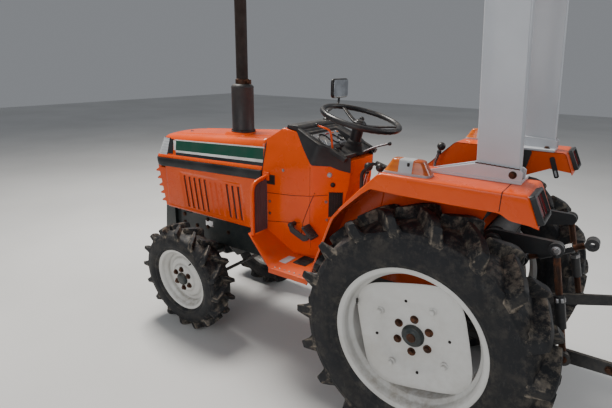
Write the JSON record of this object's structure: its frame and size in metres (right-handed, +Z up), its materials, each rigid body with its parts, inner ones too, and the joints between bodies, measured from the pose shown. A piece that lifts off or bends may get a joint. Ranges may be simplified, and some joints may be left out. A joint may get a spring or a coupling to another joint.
{
  "type": "compact farm tractor",
  "caption": "Small four-wheel-drive farm tractor with lugged tyres, upright exhaust, sloping bonnet, roll bar behind the seat and a rear three-point linkage.",
  "frame": {"origin": "on the ground, at the middle of the tractor's length and width", "axes": "+X forward, +Y to the tractor's left, +Z up"},
  "size_m": [2.4206, 1.032, 1.96],
  "materials": {
    "orange_enamel": "glossy orange enamel on pressed steel",
    "belt_black": "black moulded band with a white line and a green stripe",
    "lamp_white": "clear wrapped headlamp lens over a bright reflector",
    "chassis_dark": "dark blue-green machinery paint on castings, dusty and worn",
    "grey_casting": "grey painted iron castings with dirt in the corners",
    "engine_dark": "dark painted engine castings",
    "radiator_core": "dark finned radiator core",
    "muffler_grey": "heat-proof dark grey paint with rust bloom",
    "pipe_brown": "dark rusted exhaust pipe",
    "dash_black": "black moulded instrument panel",
    "wheel_rim_black": "black moulded steering wheel",
    "rollbar_grey": "light grey paint on welded steel, rust at the seams",
    "tyre_rubber": "black agricultural tyre rubber, dusty between the lugs",
    "rim_white": "off-white wheel paint with rust stains",
    "seat_black": "black vinyl over foam",
    "lens_amber": "amber lens on a light grey body",
    "lens_red": "red lens in a black housing",
    "bare_steel": "bare worn steel",
    "link_black": "black painted steel, worn at the eyes",
    "knob_black": "black round knobs on steel rods",
    "mirror_glass": "mirror in a dark housing"
  },
  "bodies": {
    "chassis": {"engine_block": "engine_dark", "radiator": "radiator_core", "front_frame": "chassis_dark", "front_axle": "chassis_dark", "transmission_case": "grey_casting", "rear_axle": "grey_casting", "hydraulic_case": "grey_casting", "rear_hitch": "link_black", "pto_shaft": "bare_steel", "bonnet": "orange_enamel", "bonnet_belt": "belt_black", "headlamps": "lamp_white", "side_panels": "orange_enamel", "front_grille": "orange_enamel", "muffler": "muffler_grey", "exhaust_pipe": "pipe_brown", "cowl": "orange_enamel", "dash_panel": "dash_black", "steering_column": "dash_black", "footboards": "orange_enamel", "leg_guards": "orange_enamel", "fender_left": "orange_enamel", "fender_right": "orange_enamel", "seat_deck": "orange_enamel", "side_lamps": "lens_amber", "tail_lamps": "lens_red", "rops_posts": "rollbar_grey", "rops_crossbar": "rollbar_grey", "rops_bases": "rollbar_grey", "pedals": "link_black", "levers": "knob_black", "mirror": "mirror_glass"},
    "seat": {"seat": "seat_black"},
    "steering": {"steering_wheel": "wheel_rim_black"},
    "knuckle_left": {"knuckle_left": "chassis_dark"},
    "knuckle_right": {"knuckle_right": "chassis_dark"},
    "track_rod": {"tie_rod": "link_black"},
    "rear_roll_left": {"rear_tyre_left": "tyre_rubber", "rear_wheel_left": "rim_white"},
    "rear_roll_right": {"rear_tyre_right": "tyre_rubber", "rear_wheel_right": "rim_white"},
    "front_roll_left": {"front_tyre_left": "tyre_rubber", "front_wheel_left": "rim_white"},
    "front_roll_right": {"front_tyre_right": "tyre_rubber", "front_wheel_right": "rim_white"},
    "lift": {"lift_arms": "link_black"},
    "lift_rod_pair": {"lift_rods": "link_black"},
    "link_pair": {"lower_links": "link_black"},
    "top_link_bar": {"top_link": "link_black"}
  },
  "joints": [
    {"name": "steering_wheel_turn", "type": "hinge", "parent": "chassis", "child": "steering", "pos_m": [0.00228, 0, 1.14], "axis": [-0.2419, 0, 0.9703], "range_deg": [-525, 525]},
    {"name": "knuckle_left_turn", "type": "hinge", "parent": "chassis", "child": "knuckle_left", "pos_m": [0.80228, 0.262, 0.28723], "axis": [0, 0, 1], "range_deg": [-35, 35]},
    {"name": "knuckle_right_turn", "type": "hinge", "parent": "chassis", "child": "knuckle_right", "pos_m": [0.80228, -0.262, 0.28723], "axis": [0, 0, 1], "range_deg": [-35, 35]},
    {"name": "track_rod_slide", "type": "slide", "parent": "chassis", "child": "track_rod", "axis": [0, 1, 0], "range_m": [-0.0545, 0.0545]},
    {"name": "front_wheel_left_spin", "type": "hinge", "parent": "knuckle_left", "child": "front_roll_left", "pos_m": [0.80228, 0.342, 0.28723], "axis": [0, 0.9962, -0.0872], "continuous": true},
    {"name": "front_wheel_right_spin", "type": "hinge", "parent": "knuckle_right", "child": "front_roll_right", "pos_m": [0.80228, -0.342, 0.28723], "axis": [0, 0.9962, 0.0872], "continuous": true},
    {"name": "rear_wheel_left_spin", "type": "hinge", "parent": "chassis", "child": "rear_roll_left", "pos_m": [-0.47772, 0.411, 0.46], "axis": [0, 1, 0], "continuous": true},
    {"name": "rear_wheel_right_spin", "type": "hinge", "parent": "chassis", "child": "rear_roll_right", "pos_m": [-0.47772, -0.411, 0.46], "axis": [0, 1, 0], "continuous": true},
    {"name": "lift_arms_turn", "type": "hinge", "parent": "chassis", "child": "lift", "pos_m": [-0.64772, 0, 0.78], "axis": [0, 1, 0], "range_deg": [-25, 40]},
    {"name": "lower_links_turn", "type": "hinge", "parent": "chassis", "child": "link_pair", "pos_m": [-0.58972, 0, 0.4], "axis": [0, 1, 0], "range_deg": [-15, 24]},
    {"name": "lift_rods_turn", "type": "hinge", "parent": "lift", "child": "lift_rod_pair", "pos_m": [-0.84696, 0, 0.79743], "axis": [0, 1, 0], "range_deg": [-40, 25]},
    {"name": "top_link_turn", "type": "hinge", "parent": "chassis", "child": "top_link_bar", "pos_m": [-0.72572, 0, 0.665], "axis": [0, 1, 0], "range_deg": [-45, 35]},
    {"name": "seat_tilt", "type": "hinge", "parent": "chassis", "child": "seat", "pos_m": [-0.21572, 0, 0.8], "axis": [0, 1, 0], "range_deg": [0, 40]}
  ],
  "couplings": [
    {"joint": "knuckle_left_turn", "follows": "steering_wheel_turn", "ratio": 0.066666},
    {"joint": "knuckle_right_turn", "follows": "steering_wheel_turn", "ratio": 0.066666},
    {"joint": "track_rod_slide", "follows": "steering_wheel_turn", "m_per_rad": -0.005946},
    {"joint": "lower_links_turn", "follows": "lift_arms_turn", "ratio": 0.585},
    {"joint": "lift_rods_turn", "follows": "lift_arms_turn", "ratio": -1}
  ]
}
